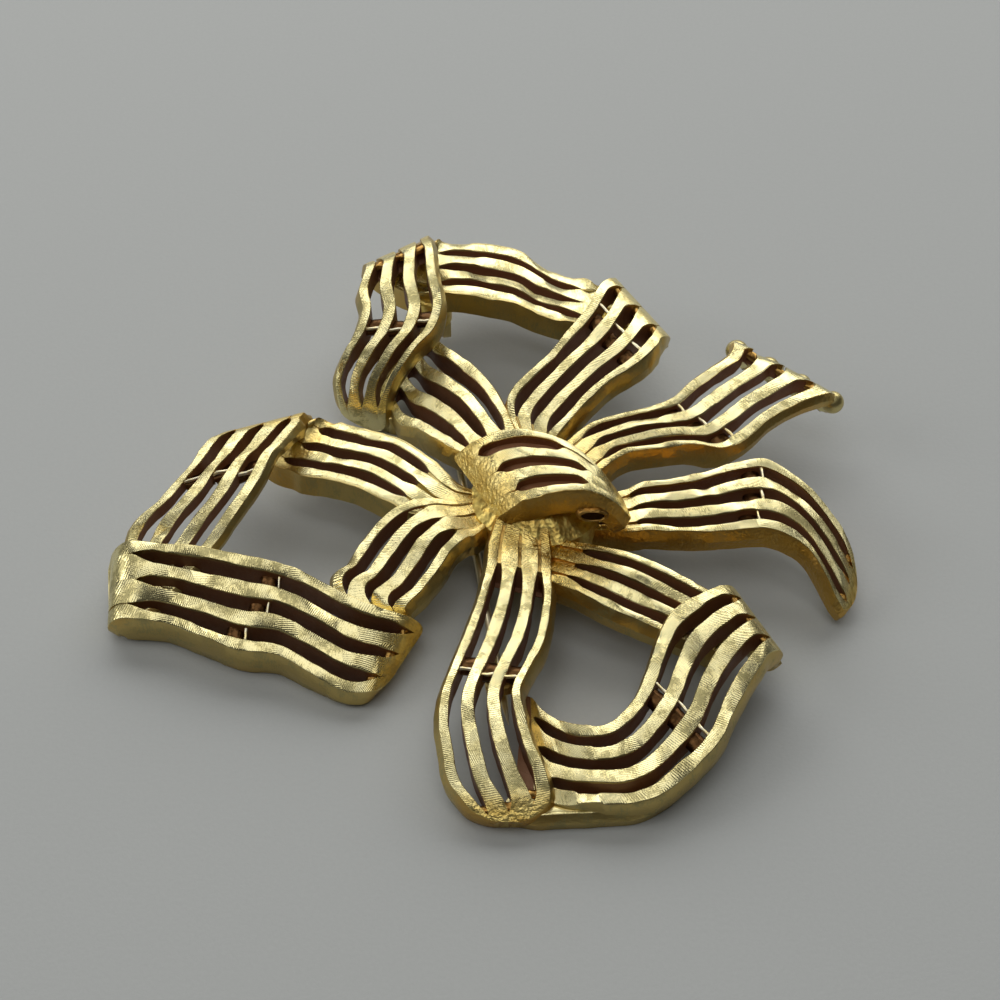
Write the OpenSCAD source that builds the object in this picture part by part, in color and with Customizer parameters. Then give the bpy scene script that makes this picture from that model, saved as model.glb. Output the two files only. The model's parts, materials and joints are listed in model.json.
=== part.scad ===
/* [Bow] */
// Width that every table's across and back shares follow
bow_w = 72; // [64:1:80]
// Height that every table's height shares follow
bow_h = 12; // [11:0.5:13]
// Depth of the cast ribbon, from its face to its back
band_t = 2.6; // [2.2:0.1:2.8]
// Width of one slot, as a share of the ribbon's width there
slot_share = 0.14; // [0.1:0.01:0.15]
// Thickness of the low ties that cross the slots
tie_d = 0.9; // [0.7:0.1:1.2]

/* [Centre] */
// Height of the flat top of the centre, which carries the knot, as a share of bow_h
centre_share = 0.5; // [0.48:0.01:0.52]
// Thickness of the centre
centre_t = 2.6; // [2:0.1:2.8]
// Radius of the middle of the centre
centre_r = 5; // [4.5:0.1:5.5]
// Radius of the round ends that join the centre to each ribbon
root_r = 0.9; // [0.8:0.05:1.1]
// How far the arms of the centre lie below the ribbons' faces
root_sunk = 0.1; // [0.05:0.05:0.2]

/* [Knot] */
// Depth of the knot's band
knot_t = 3; // [2.6:0.1:3.4]
// Running gap between pieces that meet without being one casting
seat_gap = 0.15; // [0.1:0.01:0.2]

/* [Pin] */
// Diameter of the pin stem
stem_d = 0.8; // [0.7:0.05:0.9]
// Length from the hinge axis to the stem's point, as a share of bow_w
stem_share = 0.715; // [0.7:0.005:0.72]
// Length of the stem's sharpened end
point_l = 3; // [2:0.5:4]
// Height of the stem's middle above the surface the bow lies on, as a share of bow_h
stem_rise = 0.17; // [0.16:0.005:0.18]
// Turn of the stem away from straight front to back, in degrees
stem_turn = 8.5; // [7.5:0.5:9]
// Diameter of the hinge's cross pin
rivet_d = 0.9; // [0.8:0.05:1]
// Outer diameter of the stem's eye
eye_d = 1.8; // [1.7:0.05:1.9]
// Width of the stem's eye along the hinge axis
eye_w = 1.6; // [1.4:0.1:1.8]
// Thickness of each hinge lug
lug_t = 0.8; // [0.7:0.05:1]
// How far the lugs stand out past the stem's eye
lug_over = 0.1; // [0.05:0.05:0.15]
// Thickness of the plates that seat the hinge and the catch
plate_t = 0.5; // [0.4:0.05:0.6]
// Clearance around everything that turns
run_gap = 0.05; // [0.03:0.01:0.08]
// Length of the stem past the middle of the catch
past_catch = 4; // [3.5:0.5:4.5]
// Width of the catch, along the stem
catch_w = 2; // [1.6:0.1:2.4]
// Wall of the catch's hook
hook_t = 0.5; // [0.4:0.05:0.6]
// Radius of the cast boss that carries the hinge
boss_r = 1.9; // [1.7:0.1:2.1]
// Radius of the cast boss that carries the catch
catch_boss_r = 1.5; // [1.3:0.1:1.7]

/* [Hidden] */
// Rings of the mesh for each row of a table
ROW_RINGS = 2;
GOLD = "gold";

// Every ribbon is a table with a row for each place where it bends. Columns 0 to 2 are one
// edge and 3 to 5 the other: across and back in hundredths of bow_w, height of the band's
// middle in hundredths of bow_h. Column 6 is 1 where the slots run on to the next row.
AX = 0;
BX = 3;
OPEN = 6;

// Upper loop: right limb, fold, back stretch, fold, left stretch down to its low corner
LOOP_TOP_OVER = [
  [2, 4.5, 38, 7.5, 2.5, 38, 0],
  [1, 11, 46, 9, 4.5, 46, 1],
  [6.5, 17, 61, 14.5, 10, 61, 1],
  [11.5, 23, 74, 19.5, 12.5, 74, 1],
  [14, 28.5, 77, 22, 15.5, 76, 0],
  [15, 33, 61, 23.5, 19.5, 56, 0],
  [14, 36.5, 42, 19.5, 22, 42, 0],
  [10, 36, 36, 9, 24, 52, 1],
  [6.5, 38, 36, 5, 25.5, 53, 1],
  [3, 40.5, 41, 1.5, 27, 57, 1],
  [-1.5, 41.5, 44, -2, 27.5, 60, 1],
  [-6, 41.5, 46, -6.5, 28.5, 60, 0],
  [-8.5, 41.5, 50, -12, 30, 50, 1],
  [-9, 39.5, 69, -19.5, 33.5, 56, 1],
  [-9, 34.5, 86, -19, 30.5, 77, 1],
  [-8.5, 29, 84, -20, 26.5, 74, 1],
  [-7.5, 24, 77, -19.5, 23.5, 69, 1],
  [-8.5, 20.5, 69, -20.5, 20.5, 61, 1],
  [-11.5, 17.5, 60, -22, 18.5, 51, 1],
  [-14, 15, 43, -23, 17, 36, 1],
  [-15, 13, 24, -22.5, 15, 18, 0],
  [-14.5, 12, 6, -21, 14.5, 6, 0]
];
// Upper loop: the return limb, from the low corner to the centre
LOOP_TOP_UNDER = [
  [-14, 11.5, 9, -20, 14.7, 9, 0],
  [-15.5, 14.5, 14, -11.5, 25, 36, 1],
  [-14, 9.5, 20, -7.5, 22, 41, 1],
  [-11.5, 7, 28, -4, 18.5, 42, 1],
  [-9, 4, 35, -0.5, 13.5, 42, 1],
  [-5.5, 1, 38, 2.5, 5, 39, 0]
];
// Left loop: upper limb, fold, outer stretch, down to its left corner
LOOP_LEFT_OUT = [
  [-4.5, -5, 39, -10, -10, 39, 0],
  [-9.5, 0, 43, -14.5, -8.5, 43, 1],
  [-13.5, 3.5, 43, -19, -5.5, 42, 1],
  [-17.5, 5, 40, -22.5, -4, 40, 1],
  [-21, 7, 37, -26, -3, 38, 1],
  [-23.5, 8, 33, -31, -0.5, 31, 0],
  [-24.5, 6.5, 50, -38, 4, 50, 1],
  [-26, 3.5, 68, -39.5, 0.5, 65, 1],
  [-28, 0.5, 69, -41, -3, 58, 1],
  [-29.5, -3, 67, -43, -5.5, 49, 1],
  [-31, -7, 61, -45.5, -8, 41, 1],
  [-34, -11.5, 50, -48, -9.5, 32, 1],
  [-37, -15, 35, -49, -11, 24, 1],
  [-43, -21.5, 17, -49.5, -14.5, 15, 0],
  [-48, -24, 7, -49.5, -14, 17, 0]
];
// Left loop: the front stretch, from the left corner to its low right corner
LOOP_LEFT_FRONT = [
  [-49, -24.5, 6, -50, -13.5, 22, 0],
  [-48.5, -25, 18, -48, -14, 42, 1],
  [-43, -25.5, 18, -43.5, -15, 46, 1],
  [-37.5, -28, 17, -38, -16, 48, 1],
  [-33, -30, 17, -32, -17.5, 48, 1],
  [-28.5, -30.5, 17, -27, -19, 47, 1],
  [-24, -33, 13, -22.5, -21, 43, 1],
  [-20, -35, 8, -18, -23.5, 39, 0],
  [-17, -35, 6, -13, -24.5, 32, 0],
  [-15, -32.5, 6, -9.5, -23.5, 18, 0]
];
// Left loop: the return limb, from the right corner to the centre
LOOP_LEFT_BACK = [
  [-19.5, -26, 7, -10.5, -23.5, 11, 0],
  [-22, -18, 21, -11.5, -23.5, 24, 1],
  [-20, -16, 27, -9.5, -21.5, 29, 1],
  [-18.5, -13.5, 32, -7.5, -19, 34, 1],
  [-16.5, -11, 39, -6, -16.5, 39, 1],
  [-14, -9, 44, -5, -15.5, 42, 1],
  [-10.5, -7.5, 45, -4, -14.5, 41, 0],
  [-6, -7, 40, -2.5, -13.5, 39, 0]
];
// Lower loop: the left limb, from the centre to its low bottom corner
LOOP_LOW_DOWN = [
  [-1, -15, 40, 6.5, -18.5, 40, 0],
  [-2, -18.5, 41, 6.5, -23, 41, 1],
  [-3, -23.5, 42, 6.5, -27, 41, 1],
  [-4.5, -28.5, 39, 6, -31, 38, 1],
  [-6, -33.5, 39, 4.5, -34.5, 38, 1],
  [-7.5, -38.5, 39, 3, -38.5, 38, 1],
  [-8, -42.5, 36, 3.5, -42, 36, 1],
  [-7.5, -46, 29, 4.5, -45.5, 31, 1],
  [-6.8, -49.5, 19, 6, -49, 24, 1],
  [-4.6, -52, 10, 7.5, -52.2, 15, 0],
  [-1.5, -53.2, 5, 8.5, -53, 6, 0]
];
// Lower loop: the front stretch round the opening, up to its right fold
LOOP_LOW_FRONT = [
  [-2.5, -47, 6, 7.5, -52, 6, 0],
  [2, -40.5, 19, 7, -50.5, 11, 0],
  [4.5, -39, 25, 7.5, -50, 14, 1],
  [6.5, -40.5, 27, 9.5, -51.5, 14, 1],
  [9, -41.5, 28, 12.5, -52.5, 14, 1],
  [12.5, -42, 29, 16, -53, 15, 1],
  [15, -40.5, 31, 19.5, -51.5, 17, 1],
  [17, -38, 34, 23.5, -49, 21, 1],
  [18.5, -35, 39, 27, -45.5, 27, 1],
  [19.5, -31.5, 46, 29, -41.5, 33, 1],
  [21, -28.5, 51, 31, -38, 39, 1],
  [24, -26.5, 53, 32.5, -36, 43, 1],
  [27, -25.5, 52, 34, -34, 43, 0],
  [29, -24, 41, 35, -33, 30, 0],
  [28.5, -21.5, 28, 31, -31, 20, 0]
];
// Lower loop: the upper limb, from the right fold to the centre
LOOP_LOW_BACK = [
  [28.5, -22, 28, 29, -31.5, 18, 0],
  [27, -21.5, 32, 24, -30, 27, 1],
  [24, -20, 37, 19.5, -28.5, 33, 1],
  [20.5, -18, 40, 16.5, -27.5, 37, 1],
  [17, -16.5, 42, 12.5, -25.5, 40, 1],
  [13, -15.5, 42, 9.5, -23.5, 41, 1],
  [9.5, -14.6, 41, 6, -21.8, 41, 0]
];
TAIL_UPPER = [
  [8, 2.5, 42, 13, -3.5, 41, 0],
  [12, 6, 46, 16.5, -0.5, 44, 1],
  [16, 7.5, 48, 20.5, 0.5, 45, 1],
  [20.5, 9, 48, 25.5, 1.5, 43, 1],
  [23.5, 11, 46, 30, 1.5, 39, 1],
  [26, 13.5, 49, 33.5, 3, 43, 1],
  [29, 15.5, 54, 37, 6, 48, 1],
  [31.5, 17.5, 57, 41, 8, 53, 1],
  [32.5, 20.5, 52, 45.5, 10, 48, 0],
  [32, 22, 40, 47.5, 9.8, 32, 0]
];
TAIL_LOWER = [
  [15.5, -5.2, 38, 17, -13.2, 38, 0],
  [18.5, -4.6, 44, 19.5, -13.5, 42, 1],
  [22.5, -4.5, 48, 24.5, -14, 43, 1],
  [27, -3.5, 50, 29, -14, 45, 1],
  [31, -2, 52, 33.5, -14, 48, 1],
  [35, -1.5, 52, 36.5, -14.5, 46, 1],
  [39, -4, 48, 39.5, -16, 39, 1],
  [42, -7, 41, 41.5, -19, 30, 1],
  [44.5, -10.5, 31, 43, -21.5, 18, 1],
  [46, -14, 19, 44, -22, 8, 0],
  [46.5, -16.5, 7, 44.5, -22, 6, 0]
];
KNOT_BAND = [
  [-5.5, -1.5, 56, -0.5, -13, 56, 0],
  [-3, -1.5, 71, 2, -14, 70, 0],
  [0.5, -1.5, 83, 5, -14, 80, 1],
  [4.5, -2.5, 88, 8.5, -13.5, 85, 1],
  [8, -4, 88, 11, -13, 85, 1],
  [11, -6, 79, 13.5, -13, 76, 0],
  [13.5, -8, 66, 15, -13, 64, 0],
  [15, -9.5, 56, 16, -13, 56, 0]
];
RIBBONS = [
  LOOP_TOP_OVER, LOOP_TOP_UNDER, LOOP_LEFT_OUT, LOOP_LEFT_FRONT, LOOP_LEFT_BACK,
  LOOP_LOW_DOWN, LOOP_LOW_FRONT, LOOP_LOW_BACK, TAIL_UPPER, TAIL_LOWER
];
// Low ties across the slots: the table they cross and the row they lie on
TIES = [
  [LOOP_TOP_OVER, 3.5], [LOOP_TOP_OVER, 17], [LOOP_LEFT_OUT, 8.5], [LOOP_LEFT_FRONT, 4],
  [LOOP_LOW_DOWN, 4.5], [LOOP_LOW_FRONT, 8.5], [LOOP_LOW_FRONT, 11], [TAIL_UPPER, 4],
  [TAIL_LOWER, 5]
];
// Where each ribbon springs from the centre: the table and the row of its root
ROOTS = [
  [LOOP_TOP_OVER, 0], [LOOP_TOP_UNDER, 5], [LOOP_LEFT_OUT, 0], [LOOP_LEFT_BACK, 7],
  [LOOP_LOW_DOWN, 0], [LOOP_LOW_BACK, 6], [TAIL_UPPER, 0], [TAIL_LOWER, 0]
];
CENTRE = [3.5, -6.5];
HINGE = [-9.5, 30.5];

// Heights inside the ribbon that the two bosses grow from, as shares of bow_h
boss_in = 0.58;
catch_in = 0.36;

centre_top = centre_share * bow_h;
knot_seat = centre_top + seat_gap;
stem_z = stem_rise * bow_h;
stem_l = stem_share * bow_w;
catch_at = stem_l - past_catch;
eye_clear = seat_gap / 2;
lug_r = eye_d / 2 + lug_over;
hinge_top = stem_z + lug_r + run_gap + plate_t;
hook_r = stem_d / 2 + 2 * run_gap;
catch_top = stem_z + hook_r + hook_t;
hinge_w = eye_w + 2 * (lug_t + eye_clear);

// One edge point of a table's row, in millimetres
function edge(row, c) = [row[c] * bow_w, row[c + 1] * bow_w, row[c + 2] * bow_h] / 100;
// The smooth curve through four points, between the middle two
function through(a, b, c, d, t) =
  0.5 * (2 * b + (c - a) * t + (2 * a - 5 * b + 4 * c - d) * t * t
    + (3 * b - a - 3 * c + d) * t * t * t);
// A point of an edge at any place along the table, counted in rows
function along(rows, c, u) =
  let (last = len(rows) - 1, i = min(floor(u), last - 1), t = u - i)
  through(edge(rows[max(i - 1, 0)], c), edge(rows[i], c), edge(rows[i + 1], c),
    edge(rows[min(i + 2, last)], c), t);
// The way from the band's middle to its face, steeper than square to the band, so that the
// walls of the strips stand nearly upright and only turn level round a fold
function upright(n) =
  let (s = n / norm(n), v = [s.x, s.y, s.z * (1 + 2 * abs(s.z))])
  v / norm(v) * (0.55 + 0.45 * abs(s.z));
function ring(rows, u, thick, low) =
  let (
    last = len(rows) - 1,
    a = along(rows, AX, u), b = along(rows, BX, u),
    fore = min(u + 0.1, last), aft = max(u - 0.1, 0),
    run = along(rows, AX, fore) + along(rows, BX, fore)
      - along(rows, AX, aft) - along(rows, BX, aft),
    half = upright(cross(run, b - a)) * thick / 2
  )
  [for (j = [0:7], side = [-1, 1])
    let (p = a + (b - a) * across(j) + half * side)
    [p.x, p.y, max(p.z, low)]];
// Shares across the band at which strips and slots change over
strip_share = (1 - 3 * slot_share) / 4;
function across(j) = floor((j + 1) / 2) * strip_share + floor(j / 2) * slot_share;

// The middle of the bow's outline, which is the part's origin
reach = [for (rows = RIBBONS, i = [0:(len(rows) - 1) * ROW_RINGS])
  each ring(rows, i / ROW_RINGS, band_t, 0)];
function middle(values) = (min(values) + max(values)) / 2;
HOME = [middle([for (p = reach) p.x]), middle([for (p = reach) p.y]), 0];
module at_home() {
  translate(-HOME)
    children();
}

// One band with its slots: a closed mesh of strips, with slot cells left out
module band(rows, thick, low = 0) {
  rings = (len(rows) - 1) * ROW_RINGS;
  points = [for (i = [0:rings]) each ring(rows, i / ROW_RINGS, thick, low)];
  function at(i, j, side) = (i * 8 + j) * 2 + side;
  function solid(i, j) = i >= 0 && i < rings && j >= 0 && j <= 6
    && (j % 2 == 0 || rows[floor(i / ROW_RINGS)][OPEN] == 0);
  function quad(a, b, c, d) = [[a, b, c], [a, c, d]];
  faces = [for (i = [0:rings - 1], j = [0:6]) if (solid(i, j)) each concat(
    quad(at(i, j, 1), at(i, j + 1, 1), at(i + 1, j + 1, 1), at(i + 1, j, 1)),
    quad(at(i, j, 0), at(i + 1, j, 0), at(i + 1, j + 1, 0), at(i, j + 1, 0)),
    solid(i, j - 1) ? [] : quad(at(i, j, 0), at(i, j, 1), at(i + 1, j, 1), at(i + 1, j, 0)),
    solid(i, j + 1) ? []
      : quad(at(i, j + 1, 0), at(i + 1, j + 1, 0), at(i + 1, j + 1, 1), at(i, j + 1, 1)),
    solid(i - 1, j) ? [] : quad(at(i, j, 0), at(i, j + 1, 0), at(i, j + 1, 1), at(i, j, 1)),
    solid(i + 1, j) ? []
      : quad(at(i + 1, j, 0), at(i + 1, j, 1), at(i + 1, j + 1, 1), at(i + 1, j + 1, 0))
  )];
  polyhedron(points, faces, convexity = 10);
}
// A thin rod low in the slots, from one outer strip to the other
module tie(rows, u) {
  a = along(rows, AX, u);
  b = along(rows, BX, u);
  hull()
    for (t = [0.1, 0.9])
      translate(a + (b - a) * t)
        sphere(d = tie_d, $fn = 8);
}
// One arm of the centre, from its middle out to both edges of a ribbon's root
module arm(rows, u) {
  hull() {
    translate([CENTRE.x * bow_w / 100, CENTRE.y * bow_w / 100, centre_top - centre_t])
      cylinder(r = centre_r, h = centre_t, $fn = 32);
    for (c = [AX, BX])
      let (p = along(rows, c, u))
      translate([p.x, p.y, p.z - centre_t / 2])
        cylinder(r = root_r, h = centre_t - root_sunk, $fn = 16);
  }
}
// A frame whose origin is the hinge axis and whose -Y runs along the closed stem
module at_hinge(z = stem_z) {
  at_home()
    translate([HINGE.x * bow_w / 100, HINGE.y * bow_w / 100, z])
      rotate([0, 0, stem_turn])
        children();
}

module bow() {
  color(GOLD) union() {
    at_home() {
      for (rows = RIBBONS)
        band(rows, band_t);
      for (r = ROOTS)
        arm(r[0], r[1]);
      for (t = TIES)
        tie(t[0], t[1]);
    }
    at_hinge(hinge_top)
      cylinder(r = boss_r, h = boss_in * bow_h - hinge_top, $fn = 24);
    at_hinge(catch_top)
      translate([0, -catch_at, 0])
        cylinder(r = catch_boss_r, h = catch_in * bow_h - catch_top, $fn = 24);
  }
}
module knot() {
  color(GOLD) at_home()
    band(KNOT_BAND, knot_t, knot_seat);
}
module pin_hinge() {
  color("goldenrod") at_hinge() union() {
    translate([-hinge_w / 2, -lug_r, lug_r + run_gap])
      cube([hinge_w, 2 * lug_r, plate_t]);
    for (side = [-1, 1])
      translate([side * (eye_w / 2 + eye_clear + lug_t / 2), 0, 0]) {
        rotate([0, 90, 0])
          cylinder(r = lug_r, h = lug_t, center = true, $fn = 48);
        translate([-lug_t / 2, -lug_r, 0])
          cube([lug_t, 2 * lug_r, lug_r + run_gap + plate_t]);
      }
    rotate([0, 90, 0])
      cylinder(d = rivet_d, h = hinge_w, center = true, $fn = 48);
  }
}
module pin_stem() {
  color("silver") at_hinge() difference() {
    union() {
      rotate([0, 90, 0])
        cylinder(d = eye_d, h = eye_w, center = true, $fn = 48);
      rotate([90, 0, 0])
        cylinder(d = stem_d, h = stem_l - point_l, $fn = 48);
      translate([0, point_l - stem_l, 0])
        rotate([90, 0, 0])
          cylinder(d1 = stem_d, d2 = stem_d / 8, h = point_l, $fn = 48);
    }
    rotate([0, 90, 0])
      cylinder(d = rivet_d + 2 * run_gap, h = eye_w * 2, center = true, $fn = 48);
  }
}
// An open hook: its mouth faces the way the stem swings out
module pin_catch() {
  color("goldenrod") at_hinge() translate([0, -catch_at, 0]) {
    translate([-catch_boss_r, -catch_w / 2, hook_r])
      cube([2 * catch_boss_r, catch_w, hook_t]);
    rotate([90, 0, 0])
      rotate([0, 0, 90])
        translate([0, 0, -catch_w / 2])
          rotate_extrude(angle = 110, $fn = 48)
            translate([hook_r, 0])
              square([hook_t, catch_w]);
  }
}

bow();
knot();
pin_hinge();
pin_stem();
pin_catch();
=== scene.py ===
"""A gold-tone bow brooch: three slotted ribbon loops, two ribbon tails and an arched knot."""

import json
import math

import bmesh
import bpy
import numpy as np
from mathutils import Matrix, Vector


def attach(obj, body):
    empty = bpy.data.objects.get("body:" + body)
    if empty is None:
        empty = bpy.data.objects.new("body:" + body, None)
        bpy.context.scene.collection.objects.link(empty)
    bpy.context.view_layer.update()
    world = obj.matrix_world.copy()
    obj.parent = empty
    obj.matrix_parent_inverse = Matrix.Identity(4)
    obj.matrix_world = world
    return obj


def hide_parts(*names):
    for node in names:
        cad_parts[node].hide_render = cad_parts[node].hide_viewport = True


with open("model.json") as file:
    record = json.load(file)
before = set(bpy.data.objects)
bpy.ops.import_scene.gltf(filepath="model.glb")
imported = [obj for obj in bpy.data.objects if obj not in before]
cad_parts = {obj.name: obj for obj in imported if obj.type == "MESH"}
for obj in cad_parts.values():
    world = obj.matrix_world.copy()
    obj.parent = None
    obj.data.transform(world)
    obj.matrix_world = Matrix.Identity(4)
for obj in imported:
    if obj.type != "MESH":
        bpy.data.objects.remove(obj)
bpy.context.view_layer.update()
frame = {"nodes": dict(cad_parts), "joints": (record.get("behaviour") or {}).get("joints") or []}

MM = 0.001

# Sizes of the casting, as in the part's source, in millimetres. The exceptions are the share of
# a ribbon's width that one slot takes, the tops of the bosses as shares of BOW_H, and the angle
# that the stem is turned by.
BOW_W = 72.0
BOW_H = 12.0
BAND_T = 2.6
SLOT_SHARE = 0.14
KNOT_T = 3.0
KNOT_SEAT = 6.15
CENTRE_TOP = 6.0
HUB_R = 6.2
CENTRE_T = 2.6
HINGE_BOSS_R = 1.9
HINGE_BOSS_LOW = 3.59
HINGE_BOSS_TOP = 0.58
CATCH_BOSS_R = 1.5
CATCH_BOSS_LOW = 3.04
CATCH_BOSS_TOP = 0.36
CATCH_AT = 47.48
STEM_TURN = math.radians(8.5)

# Every ribbon is a table with a row for each place where it bends. Columns 0 to 2 are one
# edge and 3 to 5 the other: across and back in hundredths of BOW_W, height of the band's
# middle in hundredths of BOW_H.
LOOP_TOP_OVER = (
    (2, 4.5, 38, 7.5, 2.5, 38),
    (1, 11, 46, 9, 4.5, 46),
    (6.5, 17, 61, 14.5, 10, 61),
    (11.5, 23, 74, 19.5, 12.5, 74),
    (14, 28.5, 77, 22, 15.5, 76),
    (15, 30.6, 71, 22.9, 17.2, 71),
    (15, 32.6, 59, 23.1, 19, 60),
    (14, 34, 50, 21.9, 20.8, 48),
    (12.4, 34.9, 42, 18.5, 22.4, 43),
    (10, 36, 36, 9, 24, 52),
    (6.5, 38, 36, 5, 25.5, 53),
    (3, 40.5, 41, 1.5, 27, 57),
    (-1.5, 41.5, 44, -2, 27.5, 60),
    (-6, 41.5, 46, -6.5, 28.5, 60),
    (-8.5, 41.5, 50, -12, 30, 50),
    (-9, 39.5, 69, -19.5, 33.5, 56),
    (-9, 34.5, 86, -19, 30.5, 77),
    (-8.5, 29, 84, -20, 26.5, 74),
    (-7.5, 24, 77, -19.5, 23.5, 69),
    (-8.5, 20.5, 69, -20.5, 20.5, 61),
    (-11.5, 17.5, 60, -22, 18.5, 51),
    (-14, 15, 43, -23, 17, 36),
    (-15, 13, 24, -22.5, 15, 18),
    (-14.5, 12, 6, -21, 14.5, 6),
)
LOOP_TOP_UNDER = (
    (-14, 11.5, 9, -20, 14.7, 9),
    (-15.5, 14.5, 14, -11.5, 25, 36),
    (-14, 9.5, 20, -7.5, 22, 41),
    (-11.5, 7, 28, -4, 18.5, 42),
    (-9, 4, 35, -0.5, 13.5, 42),
    (-5.5, 1, 38, 2.5, 5, 39),
)
LOOP_LEFT_OUT = (
    (-4.5, -5, 39, -10, -10, 39),
    (-9.5, 0, 43, -14.5, -8.5, 43),
    (-13.5, 3.5, 43, -19, -5.5, 42),
    (-17.5, 5, 40, -22.5, -4, 40),
    (-21, 7, 37, -26, -3, 38),
    (-22.7, 8, 36, -30.2, -1.2, 33),
    (-24, 8.2, 42, -34, 1.6, 38),
    (-25, 7.2, 50, -37, 2.9, 47),
    (-26, 4.8, 55, -38.8, 1.2, 55),
    (-27.1, 2, 61, -40, -1.6, 58),
    (-28.3, -0.8, 65, -41.3, -3.9, 55),
    (-29.5, -3, 67, -43, -5.5, 49),
    (-31, -7, 61, -45.5, -8, 41),
    (-34, -11.5, 50, -48, -9.5, 32),
    (-37, -15, 35, -49, -11, 24),
    (-43, -21.5, 17, -49.5, -14.5, 15),
    (-48, -24, 7, -49.5, -14, 17),
)
LOOP_LEFT_FRONT = (
    (-49, -24.5, 3, -50, -13.5, 19),
    (-48.5, -25, 15, -48, -14, 39),
    (-43, -25.5, 15, -43.5, -15, 43),
    (-37.5, -28, 14, -38, -16, 45),
    (-33, -30, 14, -32, -17.5, 45),
    (-28.5, -30.5, 14, -27, -19, 44),
    (-24, -33, 10, -22.5, -21, 40),
    (-20, -35, 5, -18, -23.5, 36),
    (-17, -35, 3, -13, -24.5, 29),
    (-15, -32.5, 3, -9.5, -23.5, 15),
)
LOOP_LEFT_BACK = (
    (-19.5, -26, 7, -10.5, -23.5, 11),
    (-22, -18, 21, -11.5, -23.5, 24),
    (-20, -16, 27, -9.5, -21.5, 29),
    (-18.5, -13.5, 32, -7.5, -19, 34),
    (-16.5, -11, 39, -6, -16.5, 39),
    (-14, -9, 44, -5, -15.5, 42),
    (-10.5, -7.5, 45, -4, -14.5, 41),
    (-6, -7, 40, -2.5, -13.5, 39),
)
LOOP_LOW_DOWN = (
    (-0.6, -11.2, 51, 6.6, -11.8, 51),
    (-1.8, -14.8, 42, 7, -16.2, 42),
    (-2.1, -18.3, 41, 7, -21, 41),
    (-3, -23.5, 42, 6.9, -25.8, 41),
    (-4.5, -28.5, 39, 6, -31, 38),
    (-6, -33.5, 39, 4.5, -34.5, 38),
    (-7.5, -38.5, 39, 3, -38.5, 38),
    (-8, -42.5, 36, 3.5, -42, 36),
    (-7.5, -46, 29, 4.5, -45.5, 31),
    (-6.8, -49.5, 19, 6, -49, 24),
    (-4.6, -52.3, 11, 6.5, -51.9, 14),
    (-2.4, -54, 5, 4.6, -54, 5),
)
LOOP_LOW_FRONT = (
    (3.1, -35.8, 12, 2, -50, 5),
    (4.3, -37, 18, 5.2, -51.6, 6),
    (5.3, -38.9, 22, 7.8, -52.5, 8),
    (6.5, -40.4, 24, 9.7, -52.8, 10),
    (8.2, -41.7, 26, 11.6, -52.9, 12),
    (10.3, -42.4, 28, 13.6, -53, 13),
    (12.9, -42.2, 29, 16.5, -53, 14),
    (15, -40.6, 31, 19.8, -51.9, 16),
    (16.8, -38.2, 34, 23.5, -49, 21),
    (18.1, -35.1, 39, 27, -45.5, 27),
    (19.4, -31.3, 46, 29, -41.5, 33),
    (21, -28.2, 51, 31, -38, 39),
    (23.8, -25.9, 53, 32.5, -35.6, 43),
    (26.6, -24, 53, 33.6, -33.8, 43),
    (28.2, -23, 49, 34.5, -32.8, 38),
    (28.9, -22.4, 42, 34.8, -32.2, 30),
    (28.6, -21.8, 34, 34.2, -31.7, 22),
    (27.8, -21.3, 29, 32.3, -31.3, 19),
)
LOW_SKIRT = (
    (1, -50, 4, 0.5, -52.8, 4),
    (4, -50, 5, 3.8, -53.9, 6),
    (8, -50, 5, 8, -53.8, 6),
    (12, -50, 5, 12.4, -53.5, 6),
    (17, -49.5, 5, 17.4, -52.8, 6),
    (21, -47.5, 5, 21.6, -49.8, 6),
)
LOOP_LOW_BACK = (
    (28.5, -22, 28, 29, -31.5, 18),
    (27, -21.5, 32, 24, -30, 27),
    (24, -20, 37, 19.5, -28.5, 33),
    (20.5, -18, 40, 16.5, -27.5, 37),
    (17, -16.5, 42, 12.5, -25.5, 40),
    (13, -15.5, 42, 9.5, -23.5, 41),
    (9.5, -14.6, 41, 6, -21.8, 41),
    (7, -13.4, 36, 4.9, -20.4, 35),
)
TAIL_UPPER = (
    (8, 2.5, 42, 13, -3.5, 41),
    (12, 6, 46, 16.5, -0.5, 44),
    (16, 7.5, 48, 20.5, 0.5, 45),
    (20.5, 9, 48, 25.5, 1.5, 43),
    (23.5, 11, 46, 30, 1.5, 39),
    (26, 13.5, 49, 33.5, 3, 43),
    (29, 15.5, 54, 37, 6, 48),
    (31.5, 17.5, 57, 41, 8, 53),
    (31.8, 20, 54, 45, 10, 50),
    (31.8, 21.8, 44, 47, 10.2, 40),
)
TAIL_LOWER = (
    (15.5, -5.2, 38, 17, -13.2, 38),
    (18.5, -4.6, 44, 19.5, -13.5, 42),
    (22.5, -4.5, 48, 24.5, -14, 43),
    (27, -3.5, 50, 29, -14, 45),
    (31, -2, 52, 33.5, -14, 48),
    (35, -1.5, 52, 36.5, -14.5, 46),
    (39, -4, 48, 39.5, -16, 39),
    (42, -7, 41, 41.5, -19, 30),
    (44.5, -10.5, 31, 43, -21.5, 18),
    (46, -14, 19, 44, -22, 8),
    (46.5, -16.5, 7, 44.5, -22, 6),
)
KNOT_BAND = (
    (-5.7, -1.0, 55, 0.7, -12.6, 55),
    (-3.2, -1.1, 71, 2.8, -13.1, 70),
    (0.5, -1.4, 83, 5.6, -13.3, 80),
    (4.5, -2.5, 88, 8.6, -13.3, 85),
    (8, -4, 88, 11.2, -13.3, 85),
    (11, -6, 79, 13.8, -13.5, 76),
    (13.5, -8, 66, 15.4, -13.5, 63),
    (15, -9.5, 55, 16.3, -13.2, 52),
)

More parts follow.
